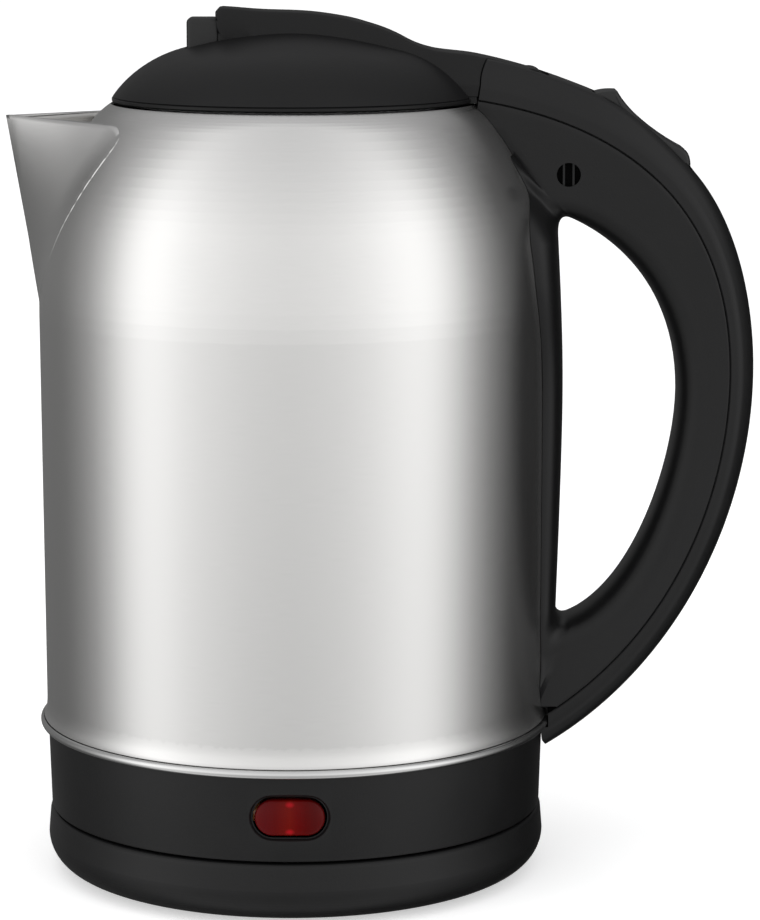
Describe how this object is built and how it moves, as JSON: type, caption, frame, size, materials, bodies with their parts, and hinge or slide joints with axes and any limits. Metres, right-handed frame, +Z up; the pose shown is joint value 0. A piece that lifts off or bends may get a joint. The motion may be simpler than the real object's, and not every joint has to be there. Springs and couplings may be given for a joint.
{
  "type": "electric kettle",
  "caption": "Cordless jug kettle: brushed steel body with welded spout, black lid, loop handle with rocker switch, indicator lens, and a separate power base it lifts off.",
  "frame": {"origin": "on the table under the body's vertical axis, at the underside of the power base's foot ring", "axes": "+Z up along the body's axis; +X towards the handle, -X towards the spout; -Y towards the indicator lens"},
  "size_m": [0.2203, 0.1539, 0.2556],
  "materials": {
    "black_plastic": "satin moulded polypropylene with a very fine grain",
    "dark_plastic": "satin moulded nylon",
    "brushed_steel": "brushed round the body",
    "polished_steel": "finely brushed, near polished",
    "steel_hardware": "zinc plated",
    "brass": "bright",
    "aluminium": "as cast",
    "heater_sheath": "dull grey sheath",
    "red_lens": "translucent red, glossy",
    "lamp_glass": "clear amber",
    "rubber": "matt",
    "silicone": "milky silicone",
    "liner_plastic": "pale grey moulded plastic",
    "wire_insulation": "glass-braid sleeve"
  },
  "bodies": {
    "power_base": {"base_foot_ring": "rubber", "base_bottom_plate": "black_plastic", "base_top_cover": "black_plastic", "base_screws": "steel_hardware", "base_coupler": "dark_plastic", "base_contacts": "brass", "cord_bush": "black_plastic"},
    "kettle": {"bottom_housing": "black_plastic", "bottom_cover": "black_plastic", "bottom_screws": "steel_hardware", "control_unit": "dark_plastic", "control_screws": "steel_hardware", "kettle_contacts": "brass", "indicator_lens": "red_lens", "indicator_lamp": "lamp_glass", "trim_ring": "polished_steel", "heating_plate": "brushed_steel", "heat_spreader": "aluminium", "heating_element": "heater_sheath", "body_shell": "brushed_steel", "spout": "brushed_steel", "spout_filter": "dark_plastic", "neck_collar": "black_plastic", "handle_frame": "black_plastic", "handle_cover": "black_plastic", "handle_screws": "steel_hardware", "steam_seal": "silicone", "steam_switch": "dark_plastic", "bimetal_disc": "brass", "handle_wires": "wire_insulation", "hinge_pin": "steel_hardware", "hinge_spring": "steel_hardware", "rocker_axle": "steel_hardware"},
    "lid": {"lid_dome": "black_plastic", "lid_liner": "liner_plastic", "lid_seal": "silicone", "lid_screws": "steel_hardware", "button_spring": "steel_hardware"},
    "button": {"lid_button": "dark_plastic"},
    "latch": {"latch_bolt": "dark_plastic"},
    "rocker": {"switch_rocker": "dark_plastic"}
  },
  "joints": [
    {"name": "kettle_lift", "type": "slide", "parent": "power_base", "child": "kettle", "axis": [0, 0, 1], "range_m": [0, 0.06]},
    {"name": "lid_hinge", "type": "hinge", "parent": "kettle", "child": "lid", "pos_m": [0.069, 0, 0.23354], "axis": [0, 1, 0], "range_deg": [0, 80]},
    {"name": "lid_button_press", "type": "slide", "parent": "lid", "child": "button", "axis": [0, 0, -1], "range_m": [0, 0.003], "stiffness_N_per_m": 800, "springref_m": -0.003, "deforming": ["button_spring"]},
    {"name": "latch_slide", "type": "slide", "parent": "lid", "child": "latch", "axis": [1, 0, 0], "range_m": [0, 0.003]},
    {"name": "power_switch", "type": "hinge", "parent": "kettle", "child": "rocker", "pos_m": [0.102, 0, 0.2146], "axis": [0, 1, 0], "range_deg": [0, 8]}
  ],
  "couplings": [
    {"joint": "latch_slide", "follows": "lid_button_press", "ratio": 1}
  ]
}
